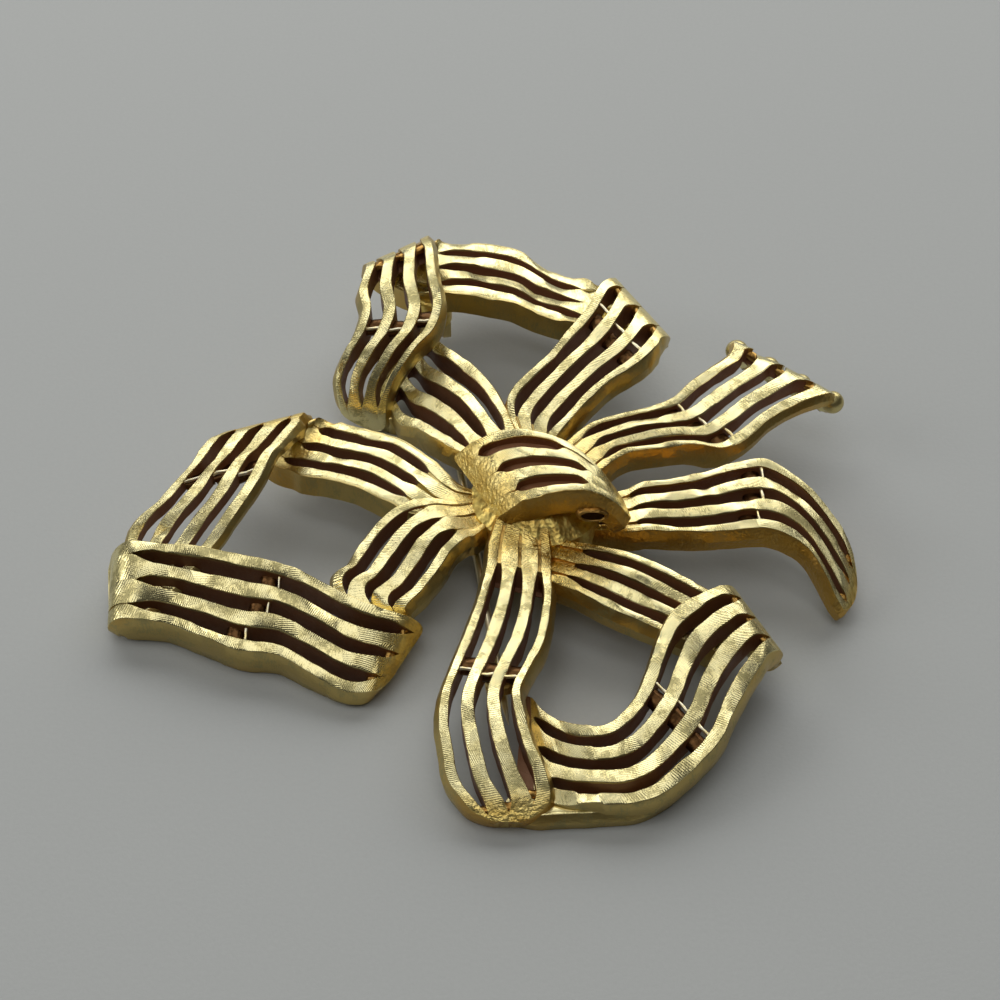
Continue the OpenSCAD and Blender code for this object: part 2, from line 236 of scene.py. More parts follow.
# The point that the ribbons spring from, in hundredths of BOW_W, and the row added at a root:
# its height in hundredths of BOW_H and how far out it is, as a share of the first row's way
CENTRE = (3.5, -6.5)
ROOT_HEIGHT = 39
ROOT_SHARE = 0.3
# The hinge in millimetres
HINGE = (-9.5 * BOW_W / 100, 30.5 * BOW_W / 100)

STRIPS = 4
STRIP_SHARE = (1 - (STRIPS - 1) * SLOT_SHARE) / STRIPS
RINGS_PER_ROW = 9
# How many rows to each side a ribbon's direction is measured over
STEP = 0.1
# Faces that meet at more than this angle keep a sharp edge between them
SHARP = math.radians(28)
BOSS_RIM = 0.15
# The hub: its middle in millimetres, how far under the centre's top its mound starts and how
# high it rises, how far it is drawn out to the front right and at what angle, how its rim wavers,
# and its pleats' height and waves: how many, the angle they start at and their part
HUB_AT = (2.9, -5.2)
HUB_SINK = 0.15
HUB_RISE = 1.85
HUB_STRETCH = 0.22
HUB_WAY = -0.5
HUB_WAVER = 0.02
PLEAT = 0.1
PLEATS = ((11, 0.6, 0.55), (17, 2.1, 0.45))
# How far a tie or burr goes into the strips at each end, as a share of the ribbon's width
BITE = 0.06

# What the finishes read at each point: bright-cut face, depth in a slot, which sets its painted
# shade, painted amber light bounced between the strips, side wall, which is painted darker as
# shade, and the share of the engraved patches that have their lines along the strip
MARKS = ("cut", "hollow", "amber_bounce", "wall", "lengthwise")

# The tables' own origin in the frame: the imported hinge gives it
hinge_at = np.array(frame["joints"][0]["pos_m"]) / MM
HOME = np.array([hinge_at[0] - HINGE[0], hinge_at[1] - HINGE[1], 0])


# Shapes

# The share of its thickness that a band keeps on edge, and what is added where it lies flat
FOLD_SHARE = 0.55
FLAT_SHARE = 0.45


def along(rows, column, u):
    """Points of one edge of a ribbon at places along its table, counted in rows."""
    edge = np.array(rows, float)[:, column:column + 3] * (BOW_W, BOW_W, BOW_H) / 100
    last = len(edge) - 1
    i = np.minimum(np.floor(u).astype(int), last - 1)
    t = (u - i)[:, None]
    a = edge[np.maximum(i - 1, 0)]
    b = edge[i]
    c = edge[i + 1]
    d = edge[np.minimum(i + 2, last)]
    return 0.5 * (2 * b + (c - a) * t + (2 * a - 5 * b + 4 * c - d) * t * t
                  + (3 * b - a - 3 * c + d) * t * t * t)


def upright(normal):
    """The way from a band's middle to its face: nearly upright, and level only round a fold."""
    s = normal / np.linalg.norm(normal, axis=1)[:, None]
    steep = abs(s[:, 2:])
    v = np.concatenate([s[:, :2], s[:, 2:] * (1 + 2 * steep)], axis=1)
    return v / np.linalg.norm(v, axis=1)[:, None] * (FOLD_SHARE + FLAT_SHARE * steep)


def filed(length, seed, waves):
    """The wander of a hand-filed edge: millimetres, at each place along it."""
    rng = np.random.default_rng(seed)
    out = np.zeros_like(length)
    for wave in waves:
        size_here = rng.uniform(WAVE_LEAST, 1.0)
        out += size_here * np.sin(length / wave * 2 * np.pi + rng.uniform(0, WAVE_SHIFT))
    return out * WANDER / len(waves)


# Points round one strip: over its face from left to right, down its right wall, back under
# it and up its left wall
FACE = (0, 1, 2, 3, 4)
SHOULDER_R, FLOOR_R, ROOF_R, HEEL_R = 5, 6, 7, 8
BACK = (9, 10, 11, 12, 13)
HEEL_L, ROOF_L, FLOOR_L, SHOULDER_L = 14, 15, 16, 17
ROUND = 18
FACE_PLACES = (0.0, 0.12, 0.5, 0.88, 1.0)
FACE_CROWN = (0.0, 0.015, 0.03, 0.015, 0.0)
# The bevel at a strip's edges, the share of it that is left beside a shut slot and the share that
# an open one adds, and the least distance from one edge of a strip or slot to the next
SHOULDER = 0.07
SHUT_BEVEL = 0.05
OPEN_BEVEL = 0.95
EDGE_GAP = 0.03
# The most that a corner draws in, as a share of its radius
CORNER_LIMIT = 0.9
# The least height between two lines of a slot's wall, and the metal left under a slot's floor
LINE_GAP = 0.01
SKIN = 0.05
# How open a shut slot still looks, from 0 to 1: anywhere, and at a root, with the millimetres
# over which that fades out and how many times that far it reaches
FOLD_GROOVE = 0.1
ROOT_GROOVE = 0.35
ROOT_REACH = 5.0
ROOT_START = 3
# A shut slot's share of its width and its depth where there is no groove, and what a groove adds
SHUT_WIDTH = 0.005
GROOVE_WIDTH = 0.9
SHUT_DEPTH = 0.03
GROOVE_DEPTH = 0.5
# How a slot opens from its tip, over what part of its taper it gets its full depth, and the
# value that stands for a place far outside a slot
TIP_CURVE = 0.6
TIP_DEPTH = 0.25
OUTSIDE = -1e9
# How far the faces stay inside the ribbon's outer walls, how far those walls swell, how much of
# the inset is left at the heel, and how deep the walls are widest, as a share of the thickness
FACE_INSET = 0.32
WALL_SWELL = 0.14
HEEL_SHARE = 0.7
LEDGE_SHARE = 0.45
# The noses at a tail's end: their radius, how deep the notches between them are and how many
# radii these reach, and the share of the rounding that each strip draws in by
NOSE_R = 2.2
NOSE_NOTCH = 1.4
NOTCH_REACH = 1.2
NOSE_DRAW = 0.35
# Millimetres over which the painted amber bounce light at a root fades out, how many times that
# far it reaches, and millimetres over which bare ends and smooth folds pass into engraving
WARM_REACH = 6.0
WARM_START = 1.3
BARE_FADE = 0.8
CALM_FADE = 1.2
# A reach that is longer than any ribbon
ALL = 99
# A face that points further down than this isn't engraved. A slot's walls are painted dark as
# shade where it is more open than OPEN_FROM, in full OPEN_OVER beyond it.
CUT_LEAN = -0.25
OPEN_FROM = 0.35
OPEN_OVER = 0.3
# The distance between two strips in the flat map that the engraving follows
MAP_STEP = 37.0
# The wander of the strips' filed edges and its wavelengths, in millimetres, the least part of it
# that one wave has, and the angle that a wave may be shifted by
WANDER = 0.05
LEFT_WAVES = (1.7, 4.1, 9.0)
RIGHT_WAVES = (1.9, 3.7, 8.0)
WAVE_LEAST = 0.6
WAVE_SHIFT = 6.28
# A ribbon's seed times these, so that its edges and its flats draw apart from other ribbons'
EDGE_SEEDS = 31
FLAT_SEEDS = 57
# The flats left by the file: shortest and longest, and how much they rise and tilt
FLAT_SHORT = 1.3
FLAT_LONG = 3.6
FLAT_RISE = 0.09
FLAT_TILT = 0.17
# How softly a ribbon rounds off at the level that it stays above, as the square of a length in
# millimetres, and how far below that level its lowest faces are let down
LEVEL_ROUND = 0.04
LEVEL_SINK = 0.004


def flipped(depth, thick, up, bevel):
    """How deep a slot's floor and its roof lie below the face, where the face may be turned down."""
    thin = bevel + LINE_GAP
    depth = np.clip(depth, thin, thick - SHOULDER - SKIN)
    floor = np.where(up > 0, depth, thin)
    roof = thick - np.where(up > 0, thin, depth)
    return floor, np.maximum(roof, floor + LINE_GAP)


def facets(length, seed):
    """The flats that the file leaves along a strip: a height and a sideways tilt at each place."""
    rng = np.random.default_rng(seed)
    places = [0.0]
    while places[-1] < length[-1]:
        places.append(places[-1] + rng.uniform(FLAT_SHORT, FLAT_LONG))
    height = np.interp(length, places, rng.normal(0, FLAT_RISE, len(places)))
    tilt = np.zeros_like(length)
    for start, end in zip(places[:-1], places[1:]):
        tilt[(length >= start) & (length < end)] = rng.normal(0, FLAT_TILT)
    soft = np.concatenate([tilt[:1], (tilt[:-2] + 2 * tilt[1:-1] + tilt[2:]) / 4, tilt[-1:]])
    return height, soft


def rounded(t, radius):
    """How far a corner of this radius has drawn in at a distance t from the end."""
    inset = radius * (1 - np.sqrt(np.clip(1 - np.clip((radius - t) / radius, 0, 1) ** 2, 0, 1)))
    return np.minimum(inset, radius * CORNER_LIMIT)


def ribbon(rows, slots, taper=1.6, root=None, thick=BAND_T, low=0.0, seed=0, corner=(0, 0),
           blind=None, bare=(0, 0), noses=None, inset=FACE_INSET, slot=SLOT_SHARE, amber=(0, 0),
           buried=(0, 0), calm=(), stout=((0, 1),), walls=0.2, lengthwise=0.0):
    """One cast ribbon: a closed mesh of four strips round three slots that taper at their ends.

    slots has a list of runs for each slot: the rows of its two tips. A slot narrows over
    taper millimetres at its tips, and runs on as a groove at the root, the end of the table
    (0 or 1) that springs from the centre. thick is the band's thickness, low the level that it
    stays above and slot a slot's share of the width. inset is how far the faces stay inside
    the outer walls, and seed is what the random draws start from.

    corner rounds off the ribbon's two ends, bare leaves them without engraving, and noses is
    the end where each strip has a nose of its own. blind is the depth of slots that have a
    floor, amber is how far from each end the gold is painted amber as light bounced between
    the strips, and buried is how far an end lies in the dark under another ribbon, where its
    colour is painted shade. calm lists folds that are smooth: a row, how far on each side of
    it, how much painted amber bounce light the fold has, how open a shut slot still looks there
    and how far the fold draws in. stout lists rows and the share of the thickness that the band
    has there, walls is how much painted amber bounce light its outer walls have, and lengthwise
    is the share of the engraved patches that have their lines along the strips.
    """
    span = len(rows) - 1
    u = np.linspace(0, span, span * RINGS_PER_ROW + 1)
    a = along(rows, 0, u)
    b = along(rows, 3, u)
    fore = np.minimum(u + STEP, span)
    aft = np.maximum(u - STEP, 0)
    run = along(rows, 0, fore) + along(rows, 3, fore) - along(rows, 0, aft) - along(rows, 3, aft)
    normal = np.cross(run, b - a)
    if normal[:, 2].mean() < 0:
        normal = -normal
    half = upright(normal) * thick / 2
    width = np.linalg.norm(b - a, axis=1)
    middle = (a + b) / 2
    length = np.concatenate([[0], np.cumsum(np.linalg.norm(np.diff(middle, axis=0), axis=1))])
    from_end = (length, length[-1] - length)
    stoutness = np.interp(u, [row for row, _ in stout], [part for _, part in stout])[:, None]
    a = a + half * (1 - stoutness)
    b = b + half * (1 - stoutness)
    half = half * stoutness
    strip = (1 - (STRIPS - 1) * slot) / STRIPS

    groove = np.full(len(u), FOLD_GROOVE)
    # Painted light: amber light bounced between the strips, painted into the colour at the root, at smooth
    # folds, at the ends and on the outer walls
    amber_bounce = np.zeros(len(u))
    if root is not None:
        near = np.clip(ROOT_START - from_end[root] / ROOT_REACH, 0, 1)
        groove = groove + (ROOT_GROOVE - FOLD_GROOVE) * near
        amber_bounce = np.clip(WARM_START - from_end[root] / WARM_REACH, 0, 1)
    plain = np.ones(len(u))
    for end, reach in enumerate(bare):
        if reach:
            plain = plain * np.clip((from_end[end] - reach) / BARE_FADE, 0, 1)
    groove = groove * plain
    drawn = np.zeros(len(u))
    for row, reach, fold_bounce, crease, narrow in calm:
        off = np.clip((abs(length - np.interp(row, u, length)) - reach) / CALM_FADE, 0, 1)
        plain = plain * off
        amber_bounce = np.maximum(amber_bounce, fold_bounce * (1 - off))
        groove = np.maximum(groove, crease * (1 - off))
        drawn = np.maximum(drawn, narrow * (1 - off * off * (3 - 2 * off)))
    for end, reach in enumerate(amber):
        if reach:
            amber_bounce = np.maximum(amber_bounce, np.clip(WARM_START - from_end[end] / reach, 0, 1))

    edges_l = [inset + drawn]
    edges_r = []
    deep = []
    wide = []
    for q, runs_of in enumerate(slots):
        inside = np.full(len(u), OUTSIDE)
        for start, end in runs_of:
            tip_0 = length - np.interp(start, u, length)
            tip_1 = np.interp(end, u, length) - length
            inside = np.maximum(inside, np.minimum(tip_0, tip_1))
        opening = np.clip(inside / taper, 0, 1) ** TIP_CURVE
        share = SHUT_WIDTH + GROOVE_WIDTH * groove
        share = share + (1 - share) * opening
        full = (thick - 2 * SHOULDER) if blind is None else blind
        floor = SHUT_DEPTH + GROOVE_DEPTH * groove
        floor = floor + (full - floor) * np.clip(inside / (TIP_DEPTH * taper), 0, 1)
        centre = (q + 1) * strip + (q + 0.5) * slot
        edges_r.append((centre - slot / 2 * share) * width)
        edges_l.append((centre + slot / 2 * share) * width)
        deep.append(floor)
        wide.append(share)
    edges_r.append(width - inset - drawn)

    for end, radius in enumerate(corner):
        if radius:
            edges_l[0] = edges_l[0] + rounded(from_end[end], radius)
            edges_r[-1] = edges_r[-1] - rounded(from_end[end], radius)
    left_most = edges_l[0].copy()
    right_most = edges_r[-1].copy()
    for k in range(STRIPS):
        for edges, order in ((edges_l, 2 * k), (edges_r, 2 * k + 1)):
            low_side = left_most + order * EDGE_GAP
            high_side = right_most - (2 * STRIPS - 1 - order) * EDGE_GAP
            edges[k] = np.clip(edges[k], low_side, high_side)
    if noses is not None:
        drawn_in = rounded(from_end[noses], NOSE_R) * NOSE_DRAW
        edges_l = [edge + drawn_in for edge in edges_l]
        edges_r = [edge - drawn_in for edge in edges_r]
        notch = NOSE_NOTCH * np.clip(NOTCH_REACH - from_end[noses] / NOSE_R, 0, 1)
        deep = [np.maximum(floor, notch) for floor in deep]

    sideways = (b - a) / width[:, None]
    up = half[:, 2] / np.linalg.norm(half, axis=1)
    rings = len(u)
    points = np.zeros((rings, STRIPS, ROUND, 3))
    uv = np.zeros((rings, STRIPS, ROUND, 2))
    marks = {key: np.zeros((rings, STRIPS, ROUND)) for key in MARKS}
    marks["lengthwise"][:] = lengthwise
    for k in range(STRIPS):
        open_l = wide[k - 1] if k else np.ones(rings)
        open_r = wide[k] if k < STRIPS - 1 else np.ones(rings)
        first = seed * EDGE_SEEDS + k * 2
        left = edges_l[k] + filed(length, first, LEFT_WAVES) * open_l
        right = edges_r[k] + filed(length, first + 1, RIGHT_WAVES) * open_r
        bevel_l = SHOULDER * (SHUT_BEVEL + OPEN_BEVEL * open_l)
        bevel_r = SHOULDER * (SHUT_BEVEL + OPEN_BEVEL * open_r)
        height, tilt = facets(length, seed * FLAT_SEEDS + k)
        height = height * plain
        tilt = tilt * plain
        floor_l = deep[k - 1] if k else np.full(rings, thick * LEDGE_SHARE)
        floor_r = deep[k] if k < STRIPS - 1 else np.full(rings, thick * LEDGE_SHARE)
        floor_l, roof_l = flipped(floor_l, thick, up, bevel_l)
        floor_r, roof_r = flipped(floor_r, thick, up, bevel_r)
        out_l = inset if k == 0 else 0.0
        out_r = inset if k == STRIPS - 1 else 0.0
        swell_l = WALL_SWELL if k == 0 else 0.0
        swell_r = WALL_SWELL if k == STRIPS - 1 else 0.0
        across = {SHOULDER_R: right, FLOOR_R: right + out_r + swell_r, ROOF_R: right + out_r,
                  HEEL_R: right + out_r * HEEL_SHARE,
                  SHOULDER_L: left, FLOOR_L: left - out_l - swell_l, ROOF_L: left - out_l,
                  HEEL_L: left - out_l * HEEL_SHARE}
        down = {SHOULDER_R: bevel_r, FLOOR_R: floor_r, ROOF_R: roof_r, HEEL_R: thick - bevel_r,
                SHOULDER_L: bevel_l, FLOOR_L: floor_l, ROOF_L: roof_l, HEEL_L: thick - bevel_l}
        inner_l = left + bevel_l
        inner_r = right - bevel_r
        for n in range(len(FACE)):
            across[FACE[n]] = inner_l + (inner_r - inner_l) * FACE_PLACES[n]
            down[FACE[n]] = np.full(rings, -FACE_CROWN[n])
            across[BACK[n]] = inner_r + (inner_l - inner_r) * FACE_PLACES[n]
            down[BACK[n]] = np.full(rings, thick + FACE_CROWN[n])
        for n in range(ROUND):
            x = across[n]
            d = down[n].copy()
            flat = height + tilt * (x - (left + right) / 2)
            if n in FACE or n in (SHOULDER_L, SHOULDER_R):
                d -= flat
            if n in BACK or n in (HEEL_L, HEEL_R):
                d += flat
            points[:, k, n] = a + sideways * x[:, None] + half * (1 - 2 * d / thick)[:, None]
            side = 0 if n in FACE or n in BACK else (1 if n < BACK[0] else -1)
            uv[:, k, n, 0] = length + k * MAP_STEP
            uv[:, k, n, 1] = x + side * d
            outer = side != 0 and not 0 < k < STRIPS - 1
            # Outer walls get the painted amber bounce light of the walls argument
            marks["amber_bounce"][:, k, n] = np.maximum(amber_bounce, walls) if outer else amber_bounce
            marks["wall"][:, k, n] = side != 0
            if side == 0:
                marks["cut"][:, k, n] = ((up if n in FACE else -up) > CUT_LEAN) * plain
            elif (side < 0 and k > 0) or (side > 0 and k < STRIPS - 1):
                below = np.clip(np.where(up > 0, d, thick - d) / thick, 0, 1)
                open_here = open_l if side < 0 else open_r
                open_here = np.clip((open_here - OPEN_FROM) / OPEN_OVER, 0, 1)
                marks["hollow"][:, k, n] = below * open_here
            # An end under another ribbon is painted with the slots' deep shade
            for end, reach in enumerate(buried):
                if reach:
                    dark = np.clip(reach - from_end[end], 0, 1)
                    marks["hollow"][:, k, n] = np.maximum(marks["hollow"][:, k, n], dark)
    z = points[..., 2] - low
    points[..., 2] = low + 0.5 * (z + np.sqrt(z * z + LEVEL_ROUND)) - LEVEL_SINK

    def at(i, k, n):
        return (i * STRIPS + k) * ROUND + n

    shut = [[blind is not None or min(deep[q][i], deep[q][i + 1]) < thick - 2 * SHOULDER - 1e-6
             for i in range(rings - 1)] for q in range(STRIPS - 1)]
    faces = []
    for i in range(rings - 1):
        for k in range(STRIPS):
            for n in range(ROUND):
                m = (n + 1) % ROUND
                if k < STRIPS - 1 and n == FLOOR_R and shut[k][i]:
                    faces.append((at(i, k, FLOOR_R), at(i, k + 1, FLOOR_L),
                                  at(i + 1, k + 1, FLOOR_L), at(i + 1, k, FLOOR_R)))
                    faces.append((at(i, k + 1, ROOF_L), at(i, k, ROOF_R),
                                  at(i + 1, k, ROOF_R), at(i + 1, k + 1, ROOF_L)))
                elif not (k > 0 and n == ROOF_L and shut[k - 1][i]):
                    faces.append((at(i, k, n), at(i, k, m), at(i + 1, k, m), at(i + 1, k, n)))
    for k in range(STRIPS - 1):
        for i in range(rings):
            before = i > 0 and shut[k][i - 1]
            after = i < rings - 1 and shut[k][i]
            if before != after:
                faces.append([at(i, k, FLOOR_R), at(i, k, ROOF_R),
                              at(i, k + 1, ROOF_L), at(i, k + 1, FLOOR_L)])
    for i in (0, rings - 1):
        for k in range(STRIPS):
            faces.append([at(i, k, n) for n in range(ROUND)])
    return {"points": points.reshape(-1, 3), "faces": faces, "uv": uv.reshape(-1, 2),
            **{key: mark.reshape(-1) for key, mark in marks.items()}}


def reach_in(rows, end):
    """A table with one more row at its root, ROOT_SHARE of the way out from the centre."""
    row = rows[0] if end == 0 else rows[-1]
    inner = []
    for column in (0, 3):
        for axis in (0, 1):
            inner.append(CENTRE[axis] + ROOT_SHARE * (row[column + axis] - CENTRE[axis]))
        inner.append(ROOT_HEIGHT)
    return (inner, *rows) if end == 0 else (*rows, inner)


def stand(name, data):
    """A new object in the scene."""
    thing = bpy.data.objects.new(name, data)
    bpy.context.scene.collection.objects.link(thing)
    return thing


def piece(name, parts, material, replaced):
    """Joins closed meshes into one piece of the brooch, in metres in the frame."""
    faces = []
    first = 0
    for part in parts:
        faces += [[first + v for v in f] for f in part["faces"]]
        first += len(part["points"])
    points = np.concatenate([part["points"] for part in parts]) + HOME
    mesh = bpy.data.meshes.new(name)
    mesh.from_pydata((points * MM).tolist(), [], faces)
    for key in MARKS:
        values = np.concatenate([part[key] for part in parts])
        mesh.attributes.new(key, "FLOAT", "POINT").data.foreach_set("value", values)
    uv = np.concatenate([part["uv"] for part in parts])
    corner_of = np.zeros(len(mesh.loops), int)
    mesh.loops.foreach_get("vertex_index", corner_of)
    mesh.uv_layers.new(name="along").data.foreach_set("uv", uv[corner_of].reshape(-1))
    shell = bmesh.new()
    shell.from_mesh(mesh)
    bmesh.ops.recalc_face_normals(shell, faces=shell.faces)
    shell.to_mesh(mesh)
    shell.free()
    mesh.shade_smooth()
    mesh.set_sharp_from_angle(angle=SHARP)
    mesh.materials.append(material)
    thing = stand(name, mesh)
    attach(thing, "brooch")
    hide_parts(replaced)


def plain_part(points, faces):
    """A closed mesh with no engraving on it."""
    count = len(points)
    part = {"points": np.array(points, float), "faces": faces, "uv": np.zeros((count, 2))}
    return part | {key: np.zeros(count) for key in MARKS}


def even(angle, radius, height):
    """Leaves a turned shape round."""
    return radius, height


def turned(profile, place, turns, spread=even):
    """A closed round shape about an upright line: profile is (radius, height) from top to bottom.

    turns is the number of points round it. spread(angle, radius, height) gives each point's own
    radius and height.
    """
    points = [(place[0], place[1], spread(0.0, 0.0, profile[0][1])[1])]
    for radius, height in profile:
        for n in range(turns):
            angle = 2 * math.pi * n / turns
            r, z = spread(angle, radius, height)
            points.append((place[0] + r * math.cos(angle), place[1] + r * math.sin(angle), z))
    points.append((place[0], place[1], spread(0.0, 0.0, profile[-1][1])[1]))
    faces = []
    last = len(points) - 1
    for n in range(turns):
        m = (n + 1) % turns
        faces.append((0, 1 + n, 1 + m))
        for k in range(len(profile) - 1):
            row = 1 + k * turns
            faces.append((row + n, row + turns + n, row + turns + m, row + m))
        row = 1 + (len(profile) - 1) * turns
        faces.append((last, row + m, row + n))
    return plain_part(points, faces)


def boss(place, radius, bottom, top):
    """A short round boss with a soft rim."""
    core = radius * 0.5
    neck = radius - BOSS_RIM
    profile = [(core, top), (neck, top), (radius, top - BOSS_RIM), (radius, bottom + BOSS_RIM),
               (neck, bottom), (core, bottom)]
    return turned(profile, place, turns=48)


def hub_top(t):
    """The height of the hub's top a share t of the way out: level inside, then down in a curve."""
    level = 1 - max(0.0, t - 0.5) * 2
    return CENTRE_TOP - HUB_SINK + HUB_RISE * level ** 2 * (3 - 2 * level)


def pleat(angle, radius, height):
    """The folds that run out from the middle of the hub to the ribbons."""
    share = radius / HUB_R
    fold = sum(math.sin(count * angle + start) * part for count, start, part in PLEATS)
    reach = 1 + HUB_WAVER * fold * share + HUB_STRETCH * max(0.0, math.cos(angle - HUB_WAY)) ** 2
    if height > CENTRE_TOP - 1:
        height += PLEAT * fold * min(1.0, share * 1.5)
    return radius * reach, height


def band_point(rows, place, share, deep):
    """The point at a place along a table, a share of the way across, deep below the face."""
    u = np.array([float(place)])
    a = along(rows, 0, u)
    b = along(rows, 3, u)
    run = along(rows, 0, u + STEP) + along(rows, 3, u + STEP)
    run = run - along(rows, 0, u - STEP) - along(rows, 3, u - STEP)
    normal = np.cross(run, b - a)
    if normal[0, 2] < 0:
        normal = -normal
    half = upright(normal) * BAND_T / 2
    return (a + (b - a) * share + half * (1 - 2 * deep / BAND_T))[0]


def slot_gaps(table, deep, shift=0.0):
    """Two points across each slot, a little inside its strips, at the rows that a table lists.

    deep is how far they lie below the faces, and shift is how many rows further on they are.
    """
    gaps = []
    wide = SLOT_SHARE / 2 + BITE
    for rows, places in table:
        for slot, place in enumerate(places):
            centre = (slot + 1) * STRIP_SHARE + (slot + 0.5) * SLOT_SHARE
            gaps += [band_point(rows, place + shift, centre + side * wide, deep) for side in (-1, 1)]
    return gaps


def tie_tree():
    """Geometry Nodes for a lumpy cast bar along each edge of a mesh, and its inputs' identifiers."""
    tree = bpy.data.node_groups.new("cast_ties", "GeometryNodeTree")
    sockets = {}
    tree.interface.new_socket("Geometry", in_out="INPUT", socket_type="NodeSocketGeometry")
    for name in ("Length along slot", "Height", "Lumps", "Grain"):
        socket = tree.interface.new_socket(name, in_out="INPUT", socket_type="NodeSocketFloat")
        sockets[name] = socket.identifier
    socket = tree.interface.new_socket("Finish", in_out="INPUT", socket_type="NodeSocketMaterial")
    sockets["Finish"] = socket.identifier
    tree.interface.new_socket("Geometry", in_out="OUTPUT", socket_type="NodeSocketGeometry")

    def node(kind, inputs=None, **settings):
        made = tree.nodes.new(kind)
        for key, value in settings.items():
            setattr(made, key, value)
        for key, value in (inputs or {}).items():
            if isinstance(value, bpy.types.NodeSocket):
                tree.links.new(value, made.inputs[key])
            else:
                made.inputs[key].default_value = value
        return made

    given = node("NodeGroupInput").outputs
    line = node("GeometryNodeMeshToCurve", {"Mesh": given["Geometry"]}).outputs[0]
    line = node("GeometryNodeResampleCurve", {"Curve": line, "Count": 7}).outputs[0]
    line = node("GeometryNodeSetCurveNormal", {"Curve": line}, mode="Z_UP").outputs[0]
    ring = node("GeometryNodeCurvePrimitiveCircle", {"Resolution": 14, "Radius": 0.5}).outputs[0]
    size = node("ShaderNodeCombineXYZ", {"X": given["Length along slot"], "Y": given["Height"],
                                         "Z": 1.0}).outputs[0]
    ring = node("GeometryNodeTransform", {"Geometry": ring, "Scale": size}).outputs[0]
    bar = node("GeometryNodeCurveToMesh", {"Curve": line, "Profile Curve": ring,
                                           "Fill Caps": True}).outputs[0]
    lumps = node("ShaderNodeTexNoise", {"Scale": given["Grain"], "Detail": 1.0}).outputs["Color"]
    centred = node("ShaderNodeVectorMath", {0: lumps, 1: (0.5, 0.5, 0.5)}, operation="SUBTRACT").outputs[0]
    push = node("ShaderNodeVectorMath", {0: centred, "Scale": given["Lumps"]}, operation="SCALE").outputs[0]
    bar = node("GeometryNodeSetPosition", {"Geometry": bar, "Offset": push}).outputs[0]
    bar = node("GeometryNodeRealizeInstances", {"Geometry": bar}).outputs[0]
    bar = node("GeometryNodeSetMaterial", {"Geometry": bar, "Material": given["Finish"]}).outputs[0]
    node("NodeGroupOutput", {"Geometry": bar})
    return tree, sockets


def ties(name, ends, slot, **sizes):
    """One piece of cast bars, each between the next two of the points in ends, in millimetres."""
    points = (np.array(ends) + HOME) * MM
    mesh = bpy.data.meshes.new(name + "_lines")
    mesh.from_pydata(points.tolist(), [(2 * n, 2 * n + 1) for n in range(len(points) // 2)], [])
    source = stand(name + "_lines", mesh)
    modifier = source.modifiers.new("ties", "NODES")
    modifier.node_group = TIE_TREE
    for key, value in sizes.items():
        modifier[TIE_SOCKETS[key.replace("_", " ")]] = value
    bpy.context.view_layer.update()
    graph = bpy.context.evaluated_depsgraph_get()
    made = bpy.data.meshes.new_from_object(source.evaluated_get(graph))
    bpy.data.objects.remove(source)
    made.name = name
    made.shade_smooth()
    thing = stand(name, made)
    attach(thing, "brooch")
    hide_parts("bow")


# Finishes

class Wire:
    """One output of a shader node, so that sums of wires are written as plain sums."""

    def __init__(self, tree, out):
        self.tree = tree
        self.out = out

    def node(self, kind, settings, inputs, output=0):
        """Adds any node: its settings first, then the values or wires of its sockets."""
        made = self.tree.nodes.new(kind)
        for key, value in settings.items():
            setattr(made, key, value)
        for key, value in inputs.items():
            if isinstance(value, Wire):
                self.tree.links.new(value.out, made.inputs[key])
            else:
                made.inputs[key].default_value = value
        return Wire(self.tree, made.outputs[output])

    def join(self, socket):
        self.tree.links.new(self.out, socket)

    def plain(self, colour):
        """One even colour."""
        made = self.node("ShaderNodeRGB", {}, {})
        made.out.default_value = colour
        return made

    def mark(self, key):
        """One of the marks that the shapes leave on their points."""
        return self.node("ShaderNodeAttribute", {"attribute_name": key}, {}, 2)

    def solid(self):
        """The place in the piece itself, in metres."""
        return self.node("ShaderNodeTexCoord", {}, {}, 3)

    def noise(self, place, scale, detail, roughness=0.5, dimensions="3D"):
        return self.node("ShaderNodeTexNoise", {"noise_dimensions": dimensions},
                         {"Vector": place, "Scale": scale, "Detail": detail, "Roughness": roughness})

    def bump(self, strength, distance):
        """The normal that this height gives."""
        return self.node("ShaderNodeBump", {}, {"Height": self, "Strength": strength,
                                                "Distance": distance})

    def maths(self, operation, *values):
        return self.node("ShaderNodeMath", {"operation": operation}, dict(enumerate(values)))

    def __add__(self, other):
        return self.maths("ADD", self, other)

    def __radd__(self, other):
        return self.maths("ADD", other, self)

    def __sub__(self, other):
        return self.maths("SUBTRACT", self, other)

    def __rsub__(self, other):
        return self.maths("SUBTRACT", other, self)

    def __mul__(self, other):
        return self.maths("MULTIPLY", self, other)

    def __rmul__(self, other):
        return self.maths("MULTIPLY", other, self)

    def clamp(self, low, high):
        return self.maths("MINIMUM", self.maths("MAXIMUM", self, low), high)

    def ramp(self, low, high):
        """0 below low, 1 above high, and smooth between."""
        return self.node("ShaderNodeMapRange", {"interpolation_type": "SMOOTHSTEP"},
                         {"Value": self, "From Min": low, "From Max": high})

    def blend(self, other, share):
        """This colour where share is 0 and the other where it is 1."""
        return self.node("ShaderNodeMix", {"data_type": "RGBA"}, {0: share, 6: self, 7: other}, 2)


def new_finish(name):
    """An empty material, a wire to start from and its shader's sockets."""
    finish = bpy.data.materials.new(name)
    finish.use_nodes = True
    tree = finish.node_tree
    return finish, Wire(tree, None), tree.nodes["Principled BSDF"].inputs


def rgb(red, green, blue):
    return (red, green, blue, 1.0)


